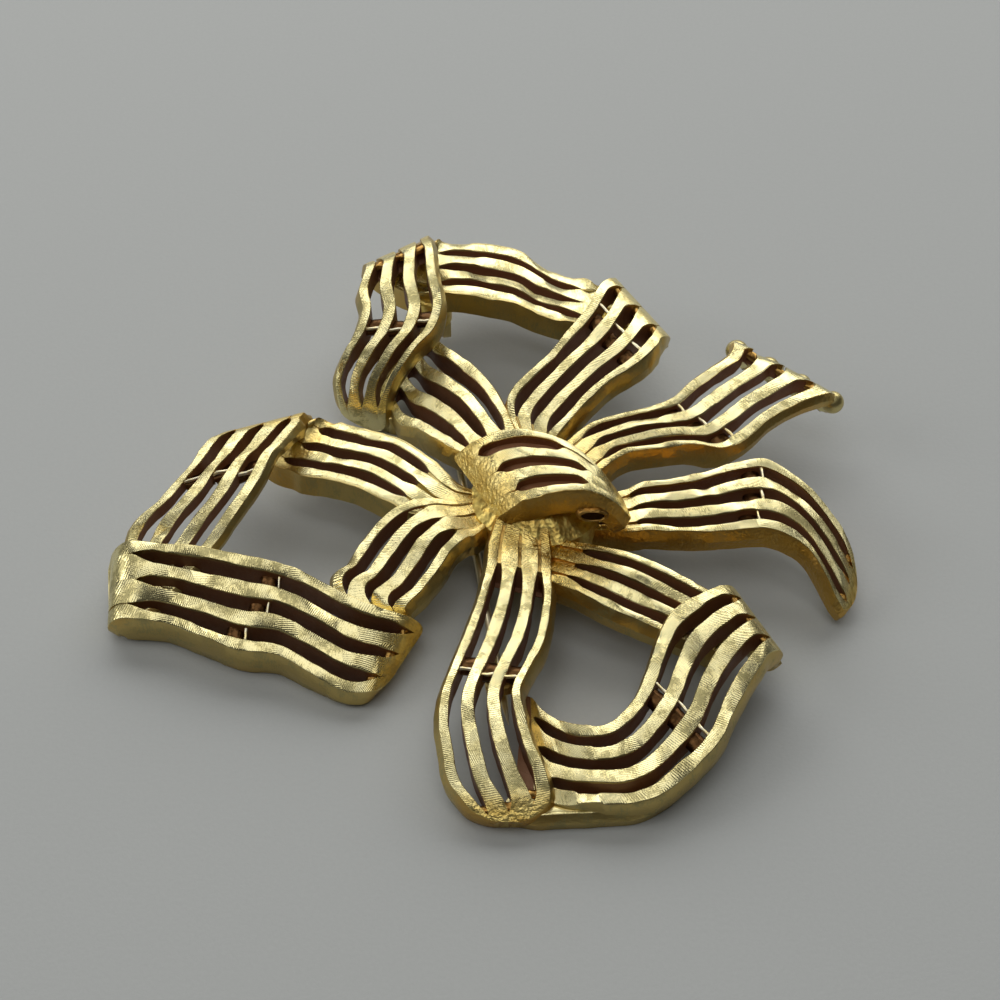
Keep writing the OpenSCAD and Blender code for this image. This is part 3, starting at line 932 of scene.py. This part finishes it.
LEMON_GOLD = rgb(0.88, 0.79, 0.42)
WARM_GOLD = rgb(0.88, 0.68, 0.2)
DEEP_GOLD = rgb(0.62, 0.36, 0.07)
# Painted shade for the depths of the slots
SHADED_GOLD = rgb(0.25, 0.1, 0.042)
# Painted shade: side walls darkened to olive where they turn from the lights and face the floor
WALL_SHADE_GOLD = rgb(0.50, 0.39, 0.14)
AMBER_GOLD = rgb(0.60, 0.34, 0.07)
DULL_GOLD = rgb(0.42, 0.37, 0.17)
# Painted highlight: pale gold on the ties' rims as bright glints
RIM_GLINT_PALE = rgb(0.92, 0.85, 0.62)
SATIN_GOLD = rgb(0.78, 0.62, 0.28)
STEM_GOLD = rgb(0.72, 0.64, 0.45)
# Painted reflection: amber for glints of light bounced between the strips, on the burr lumps and the eye's
# rim
GLINT_AMBER = rgb(0.55, 0.33, 0.09)
CAST_BROWN = rgb(0.28, 0.13, 0.03)
# Painted shade: the ties' dark browns stand for the shade deep in the slots
TIE_BROWN = rgb(0.15, 0.075, 0.028)
TIE_DARK = rgb(0.06, 0.027, 0.01)
# Painted shadow: the dark browns that fill the eye
EYE_BROWN = rgb(0.03, 0.014, 0.006)
EYE_BLACK = rgb(0.015, 0.007, 0.003)
BOARD_GREY = rgb(0.455, 0.467, 0.452)
BOARD_SPECK = rgb(0.43, 0.442, 0.428)


def engraving(start, place, turn, scale):
    """Fine lines across a strip, turned by an angle."""
    turned_place = start.node("ShaderNodeMapping", {}, {"Vector": place, "Rotation": (0, 0, turn)})
    return start.node("ShaderNodeTexWave", {"bands_direction": "X", "wave_profile": "SIN"},
                      {"Vector": turned_place, "Scale": scale, "Distortion": 0.35, "Detail": 1.0,
                       "Detail Scale": 2.0}, 1)


def engraved_gold():
    """Bright-cut gold: fine lines across each strip, in filed patches, with satin walls."""
    # Painted shade: besides being rougher, the side walls are coloured darker
    finish, start, shader = new_finish("engraved_gold")
    place = start.node("ShaderNodeUVMap", {"uv_map": "along"}, {})
    cut, hollow, amber_bounce, wall, lengthwise = [start.mark(key) for key in MARKS]
    solid = start.solid()

    # Patches of engraving: which way the lines lean, and how deep they are
    patch = start.node("ShaderNodeTexVoronoi", {"feature": "F1", "voronoi_dimensions": "2D"},
                       {"Vector": place, "Scale": 0.42, "Randomness": 1.0}, 1)
    patch_red = start.node("ShaderNodeSeparateColor", {}, {"Color": patch}, 0)
    patch_green = start.node("ShaderNodeSeparateColor", {}, {"Color": patch}, 1)
    across = (patch_red - lengthwise).ramp(0.1, 0.2)
    lines = engraving(start, place, 0.32, 1.75) * across + engraving(start, place, 1.2, 1.9) * (1 - across)
    depth = 0.5 + 0.5 * patch_green.ramp(0.3, 0.9)
    brushed = start.node("ShaderNodeMapping", {}, {"Vector": place, "Scale": (5.0, 1.0, 1.0)})
    streaks = start.noise(brushed, 1.3, 3.0, 0.6, "2D")
    grain = start.noise(solid, 7000.0, 2.0, 0.6)
    stipple = start.noise(solid, 2900.0, 2.0)
    mottle = start.noise(solid, 650.0, 3.0, 0.55)
    cloud = start.noise(solid, 110.0, 2.0)
    height = cut * (lines * depth * 0.16 + streaks * 0.12) + grain * 0.07 + mottle * 0.26
    height = height + stipple * (1 - cut * (1 - amber_bounce)) * (0.1 + 0.9 * amber_bounce)
    height.bump(1.0, 0.00012).join(shader["Normal"])

    worn = mottle.ramp(0.35, 0.7)
    # Painted light: the gold turns amber and deep where bounced light is painted in; the worn mottle is the
    # gold's own varied colour
    colour = start.plain(LEMON_GOLD).blend(WARM_GOLD, (worn * 0.35 + amber_bounce * 0.8).clamp(0, 1))
    colour = colour.blend(DEEP_GOLD, amber_bounce * (0.2 + 0.5 * worn))
    # Painted shade: every side wall and the tail's knobs are darkened to olive
    colour = colour.blend(WALL_SHADE_GOLD, wall * 0.85)
    # Walls are amber in random clouds, the gold's own colour, and with painted amber bounce light
    colour = colour.blend(AMBER_GOLD, wall * (cloud.ramp(0.5, 0.65) * 0.3 + amber_bounce * 0.75).clamp(0, 0.9))
    dull = (mottle * 0.6 + grain * 0.25 + streaks * 0.25).ramp(0.54, 0.66)
    colour = colour.blend(DULL_GOLD, dull * (0.85 - 0.65 * amber_bounce))
    # Painted shade: slot walls turn shaded red-brown with depth and lose some of their metal shine
    in_slot = hollow.ramp(0.03, 0.12)
    colour.blend(SHADED_GOLD, in_slot * 0.95).join(shader["Base Color"])
    rough = 0.17 + 0.08 * streaks + 0.14 * dull + 0.12 * (1 - cut) + 0.25 * hollow
    rough.join(shader["Roughness"])
    (1 - in_slot * 0.7).join(shader["Metallic"])
    return finish


def stippled_gold(name, base, grit, deep):
    """Cast and punched gold, rougher than the bright-cut strips."""
    finish, start, shader = new_finish(name)
    solid = start.solid()
    pits = start.node("ShaderNodeTexVoronoi", {"feature": "F1"}, {"Vector": solid, "Scale": 2600.0})
    lumps = start.noise(solid, 1500.0, 3.0)
    broad = start.noise(solid, 400.0, 2.0)
    height = pits * 0.35 + lumps * 0.5 + broad * 0.5
    height.bump(grit, 0.0001).join(shader["Normal"])
    start.plain(base).blend(deep, lumps.ramp(0.62, 0.35) * 0.6).join(shader["Base Color"])
    (0.26 + 0.2 * lumps).join(shader["Roughness"])
    shader["Metallic"].default_value = 1.0
    return finish


def drawn_wire(name, base, roughness, streaks):
    """Drawn or rolled metal with fine lengthwise streaks."""
    finish, start, shader = new_finish(name)
    solid = start.solid()
    stretched = start.node("ShaderNodeMapping", {}, {
        "Vector": solid, "Rotation": (0, 0, -STEM_TURN), "Scale": (1.0, 0.04, 1.0)})
    scratch = start.noise(stretched, 9000.0, 2.0)
    cloud = start.noise(solid, 500.0, 2.0)
    scratch.bump(streaks, 0.00004).join(shader["Normal"])
    start.plain(base).blend(DEEP_GOLD, cloud.ramp(0.5, 0.75) * 0.4).join(shader["Base Color"])
    (roughness + 0.15 * scratch + 0.1 * cloud).join(shader["Roughness"])
    shader["Metallic"].default_value = 1.0
    return finish


def painted_board():
    """The plain pale surface that the brooch lies on."""
    finish, start, shader = new_finish("painted_board")
    speck = start.noise(start.solid(), 2500.0, 2.0)
    start.plain(BOARD_GREY).blend(BOARD_SPECK, speck).join(shader["Base Color"])
    shader["Roughness"].default_value = 0.75
    speck.bump(0.15, 0.0001).join(shader["Normal"])
    return finish


# The brooch

GOLD = engraved_gold()
CAST_GOLD = stippled_gold("cast_gold", WARM_GOLD, 1.0, DEEP_GOLD)
AMBER_GLINT_CAST = stippled_gold("amber_glint_cast", GLINT_AMBER, 1.0, CAST_BROWN)
TIE_SHADED_GOLD = stippled_gold("tie_shaded_gold", TIE_BROWN, 0.8, TIE_DARK)
RIM_GLINT_GOLD = stippled_gold("rim_glint_gold", RIM_GLINT_PALE, 0.5, WARM_GOLD)
EYE_SHADE = stippled_gold("eye_shade", EYE_BROWN, 0.5, EYE_BLACK)
FINDINGS = drawn_wire("satin_findings", SATIN_GOLD, 0.3, 0.2)
STEM_WIRE = drawn_wire("stem_wire", STEM_GOLD, 0.2, 0.15)


def runs(*tips):
    """The same runs for each of the three slots."""
    return [list(tips)] * (STRIPS - 1)


piece("loop_top", [
    ribbon(reach_in(LOOP_TOP_OVER, 0), runs((1.7, 5.7), (9.6, 14.7), (16.7, 22.9)), root=0, seed=1,
           corner=(0, 1.8), bare=(0, 1.5),
           calm=((7, 3.0, 0.2, 0.1, 0.35), (16.2, 1.8, 0.4, 0.55, 0.3))),
    ribbon(reach_in(LOOP_TOP_UNDER, 1), runs((0.8, 4.9)), root=1, seed=2, corner=(1.0, 0)),
], GOLD, "bow")
piece("loop_left", [
    ribbon(reach_in(LOOP_LEFT_OUT, 0), runs((1.8, 6.1), (8.6, 15.6)), taper=1.2, root=0, seed=3,
           corner=(0, 1.0), calm=((7.0, 3.2, 0.7, 0.15, 0.5),),
           stout=((0, 1), (8.5, 1), (10.5, 0.6), (16, 0.5))),
    ribbon(LOOP_LEFT_FRONT, [[(1.3, 8.1)], [(1.35, 8.4)], [(1.3, 8.5)]], taper=1.8, thick=3.4,
           seed=4, corner=(1.0, 2.0), bare=(1.0, 1.6), amber=(0, 2.5)),
    ribbon(reach_in(LOOP_LEFT_BACK, 1), runs((0.8, 5.8)), root=1, seed=5, corner=(1.0, 0)),
], GOLD, "bow")
piece("loop_low", [
    ribbon(LOOP_LOW_DOWN, [[(1.9, 10.5)], [(1.9, 10.4)], [(1.9, 10.0)]], taper=3.0,
           root=0, seed=6, corner=(0, 1.4), bare=(0, 1.2), amber=(0, 2.5)),
    ribbon(LOOP_LOW_FRONT, [[(0.9, 14.3)], [(0.9, 14.3)], [(1.1, 14.2)]], seed=7,
           corner=(1.0, 1.5), bare=(2.5, 3.0), buried=(1.5, 0), inset=0.22, slot=0.124,
           lengthwise=0.45),
    ribbon(LOW_SKIRT, runs(), thick=2.2, seed=12, corner=(0.5, 0.5), bare=(ALL, ALL)),
    ribbon(LOOP_LOW_BACK, runs((0.8, 5.4)), root=1, seed=8, corner=(1.0, 0)),
], GOLD, "bow")
UPPER_ROOT = (5, -0.5, 40, 9.5, -6, 39)
LOWER_ROOT = (8, -6, 34, 8.6, -12, 33)
piece("tails", [
    ribbon((UPPER_ROOT, *TAIL_UPPER), runs((1.6, 9.2)), taper=1.0, root=0, seed=9, noses=1,
           corner=(0, 1.5), walls=0.6,
           stout=((0, 1), (4.5, 1), (6.5, 0.6), (8.8, 0.6), (10, 1))),
    ribbon((LOWER_ROOT, *TAIL_LOWER), runs((1.5, 9.9)), taper=2.5, root=0, seed=10, corner=(0, 1.9),
           bare=(0, 1.0), amber=(0, 2), walls=1.0, stout=((0, 1), (8.5, 1), (11, 0.55))),
], GOLD, "bow")

# Each strip of the upper tail ends in a rounded knob: the knobs' radius, how tall they are
# against it, the row of the table they are at, how deep below the face, how far they take the
# side walls' painted shade, and their rings
KNOB_R = 1.15
KNOB_TALL = 0.95
KNOB_ROW = 8.6
KNOB_DEEP = 1.0
KNOB_WALL = 0.8
KNOB_STEPS = 12
knobs = []
for k in range(STRIPS):
    at = band_point(TAIL_UPPER, KNOB_ROW, (k + 0.5) * STRIP_SHARE + k * SLOT_SHARE, KNOB_DEEP)
    ball = []
    for n in range(KNOB_STEPS):
        angle = math.pi * (n + 0.5) / KNOB_STEPS
        ball.append((KNOB_R * math.sin(angle), at[2] + KNOB_R * KNOB_TALL * math.cos(angle)))
    knob = turned(ball, at[:2], turns=32)
    knob["wall"][:] = KNOB_WALL
    knobs.append(knob)
piece("tail_knobs", knobs, GOLD, "bow")

piece("knot_band", [
    ribbon(KNOT_BAND, [[(0.9, 3.8)], [(1.2, 4.4)], [(1.35, 4.2)]], taper=0.7, thick=KNOT_T,
           low=KNOT_SEAT, seed=11, blind=1.0, slot=0.15, bare=(2.4, 1.6), amber=(4.2, 2),
           corner=(0.5, 0.8), walls=1.0),
], GOLD, "knot")

# The dark oval eye low in the knot's near wall: its middle and half its width in millimetres,
# and its height against its width. A dark disc in it is painted shadow. The profiles are shares of
# that half width and millimetres out from the wall.
EYE_AT = np.array((8.6, -10.0, 8.9))
EYE_R = 1.35
EYE_TALL = 0.52
EYE_RIM = ((0.3, -0.12), (0.76, -0.1), (0.86, 0.12), (0.95, 0.15), (1.08, 0.04), (1.2, -0.4))
EYE_DISC = ((0.3, 0.0), (0.8, 0.0), (0.8, -0.2), (0.3, -0.2))


def on_eye(profile):
    """A round shape stood on the knot's near wall and drawn out to the eye's oval."""
    part = turned(profile, (0, 0), turns=40)
    part["points"] = EYE_AT + part["points"][:, [0, 2, 1]] * (EYE_R, -1.0, EYE_R * EYE_TALL)
    return part


# The eye's rim takes the same painted amber
piece("knot_eye", [on_eye(EYE_RIM)], AMBER_GLINT_CAST, "knot")
# A dark disc fills the eye: painted shadow
piece("knot_eye_shadow", [on_eye(EYE_DISC)], EYE_SHADE, "knot")

hub_profile = [(HUB_R * t, hub_top(t)) for t in (0.2, 0.4, 0.5, 0.58, 0.66, 0.74, 0.82, 0.9)]
hub_profile += [(HUB_R * 0.93, CENTRE_TOP - 0.9), (HUB_R * 0.93, CENTRE_TOP - CENTRE_T + 0.3),
                (HUB_R * 0.88, CENTRE_TOP - CENTRE_T), (HUB_R * 0.4, CENTRE_TOP - CENTRE_T)]
piece("hub", [turned(hub_profile, HUB_AT, turns=240, spread=pleat)], CAST_GOLD, "bow")

catch_place = (HINGE[0] + CATCH_AT * math.sin(STEM_TURN), HINGE[1] - CATCH_AT * math.cos(STEM_TURN))
piece("bosses", [
    boss(HINGE, HINGE_BOSS_R, HINGE_BOSS_LOW, HINGE_BOSS_TOP * BOW_H),
    boss(catch_place, CATCH_BOSS_R, CATCH_BOSS_LOW, CATCH_BOSS_TOP * BOW_H),
], CAST_GOLD, "bow")

# The low ties that hold the strips apart, painted dark brown as the shade deep in the slots: a
# table, and a row of it for each slot
TIES = (
    (LOOP_TOP_OVER, (3.1, 3.0, 2.95)),
    (LOOP_TOP_OVER, (18.3, 18.6, 18.45)),
    (LOOP_LEFT_OUT, (11.2, 10.85, 10.8)),
    (LOOP_LEFT_FRONT, (3.8, 4.3, 4.5)),
    (LOOP_LOW_DOWN, (5.0, 5.15, 5.2)),
    (LOOP_LOW_FRONT, (8.6, 8.7, 8.65)),
    (TAIL_UPPER, (3.6, 3.95, 4.4)),
    (TAIL_LOWER, (4.5, 4.3, 3.9)),
)
TIE_TREE, TIE_SOCKETS = tie_tree()
# Ties painted dark brown as shade
ties("ties", slot_gaps(TIES, deep=1.35), "gold_bow",
     Length_along_slot=1.9 * MM, Height=1.3 * MM, Lumps=0.5 * MM, Grain=700.0, Finish=TIE_SHADED_GOLD)
# Thin rims along the ties' tops, painted pale as glints
ties("tie_rim_glints", slot_gaps(TIES, deep=0.35, shift=0.3), "gold_bow",
     Length_along_slot=0.3 * MM, Height=0.35 * MM, Lumps=0.4 * MM, Grain=900.0, Finish=RIM_GLINT_GOLD)

# Small burr lumps where slots end, coloured amber as painted glints of light bounced between
# the strips: a table, and a row of it for each slot
BURR_GLINTS = (
    (TAIL_UPPER, (8.15, 8.15, 8.15)),
    (LOOP_TOP_OVER, (4.5, 4.5, 4.5)),
    (LOOP_TOP_OVER, (15.85, 15.85, 15.85)),
    (LOOP_LEFT_FRONT, (7.9, 8.2, 8.3)),
    (LOOP_LOW_DOWN, (10.2, 10.05, 9.6)),
    (LOOP_LOW_FRONT, (14.0, 14.0, 13.9)),
    (TAIL_LOWER, (8.6, 8.6, 8.6)),
)
ties("burr_glints", slot_gaps(BURR_GLINTS, deep=0.75), "gold_bow",
     Length_along_slot=0.8 * MM, Height=0.8 * MM, Lumps=0.9 * MM, Grain=1500.0, Finish=AMBER_GLINT_CAST)

for node, finish in (("pin_hinge", FINDINGS), ("pin_catch", FINDINGS), ("pin_stem", STEM_WIRE)):
    mesh = frame["nodes"][node].data
    mesh.materials.clear()
    mesh.materials.append(finish)

# Stage, light and camera

# Half the floor's side in metres
FLOOR_HALF = 1.5
board = bpy.data.meshes.new("board")
corners = [(x * FLOOR_HALF, y * FLOOR_HALF, 0) for x, y in ((-1, -1), (1, -1), (1, 1), (-1, 1))]
board.from_pydata(corners, [], [(0, 1, 2, 3)])
board.materials.append(painted_board())
floor = stand("floor", board)


def softbox(name, place, size, power):
    """A large soft light that looks at the frame's middle: metres and watts."""
    lamp = bpy.data.lights.new(name, "AREA")
    lamp.shape = "RECTANGLE"
    lamp.size, lamp.size_y = size
    lamp.energy = power
    light = stand(name, lamp)
    light.location = place
    light.rotation_euler = (-Vector(place)).to_track_quat("-Z", "Y").to_euler()


softbox("softbox_back", (0.0, 0.68, 0.47), (1.4, 0.66), 7.0)
softbox("softbox_top", (-0.1, -0.12, 0.9), (0.95, 0.7), 2.4)
softbox("softbox_left", (-0.75, 0.0, 0.38), (0.4, 0.4), 1.2)

world = bpy.data.worlds.new("studio")
world.use_nodes = True
background = world.node_tree.nodes["Background"].inputs
background["Color"].default_value = rgb(0.86, 0.84, 0.78)
background["Strength"].default_value = 0.065
bpy.context.scene.world = world
bpy.context.scene.view_settings.view_transform = "Standard"

# The photo's camera, as near as it can be told: how far it looks down, its distance in metres,
# and its lens and sensor in millimetres
TILT = math.radians(48)
DISTANCE = 0.240
LENS = 88.13
SENSOR = 36
lens = bpy.data.cameras.new("camera")
lens.sensor_width = SENSOR
lens.lens = LENS
camera = stand("camera", lens)
camera.location = (HOME[0] * MM, HOME[1] * MM - DISTANCE * math.cos(TILT), DISTANCE * math.sin(TILT))
camera.rotation_euler = (math.radians(90) - TILT, 0, 0)
bpy.context.scene.camera = camera
